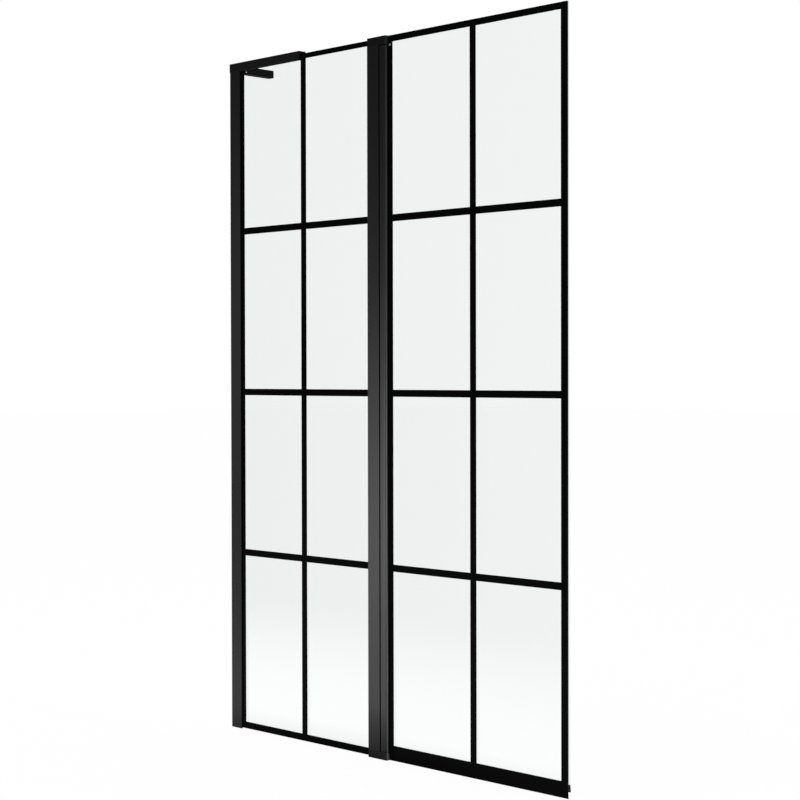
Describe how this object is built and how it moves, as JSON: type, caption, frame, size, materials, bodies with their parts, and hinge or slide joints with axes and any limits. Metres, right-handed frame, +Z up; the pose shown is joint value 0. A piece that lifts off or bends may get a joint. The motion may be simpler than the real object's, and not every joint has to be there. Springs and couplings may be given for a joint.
{
  "type": "bath screen",
  "caption": "Glazed bath screen with a black grid, a panel fixed to the wall, a hinge column and a panel that swings in over the bath.",
  "frame": {"origin": "on the wall face, midway through the glass, level with the bath rim that the screen stands on", "axes": "+X along the screen away from the wall, +Y towards the bath (wet side), +Z up"},
  "size_m": [0.995, 0.123, 1.5038],
  "materials": {
    "black_aluminium": "matt black powder coat on extruded aluminium",
    "black_bars": "deep matt black coat on flat aluminium bar",
    "clear_glass": "clear toughened float glass with ground edges",
    "black_rubber": "extruded black seal",
    "black_plastic": "moulded, fine satin texture",
    "bush_plastic": "turned black bearing plastic",
    "stainless": "bright stainless steel",
    "plain_aluminium": "mill finish"
  },
  "bodies": {
    "frame": {"wall_profile": "black_aluminium", "glazing_profile": "black_aluminium", "profile_lock_screws": "stainless", "screw_cover_caps": "black_plastic", "fixed_glass": "clear_glass", "fixed_glass_gasket": "black_rubber", "fixed_vertical_bars": "black_bars", "fixed_horizontal_bars": "black_bars", "hinge_post": "black_aluminium", "post_gasket": "black_rubber", "closing_seal": "black_rubber", "top_hinge_cap": "black_plastic", "bottom_hinge_cap": "black_plastic", "hinge_cap_screws": "stainless", "top_pivot_pin": "stainless", "bottom_pivot_pin": "stainless", "stabiliser_rail": "black_aluminium", "rail_end_cap": "black_plastic", "rail_gasket": "black_rubber", "corner_connector": "plain_aluminium", "wall_arm": "black_aluminium", "arm_end_cap": "black_plastic", "arm_wall_strip": "plain_aluminium", "arm_lock_screw": "stainless"},
    "panel": {"pivot_profile": "black_aluminium", "top_pivot_bush": "bush_plastic", "bottom_pivot_bush": "bush_plastic", "panel_glass": "clear_glass", "panel_glass_gasket": "black_rubber", "panel_lock_screw": "stainless", "glazing_bead": "black_bars", "panel_vertical_bars": "black_bars", "panel_horizontal_bars": "black_bars", "bottom_seal": "black_rubber"}
  },
  "joints": [
    {"name": "panel_hinge", "type": "hinge", "parent": "frame", "child": "panel", "pos_m": [0.503, 0, 0.75], "axis": [0, 0, 1], "range_deg": [0, 90]}
  ]
}
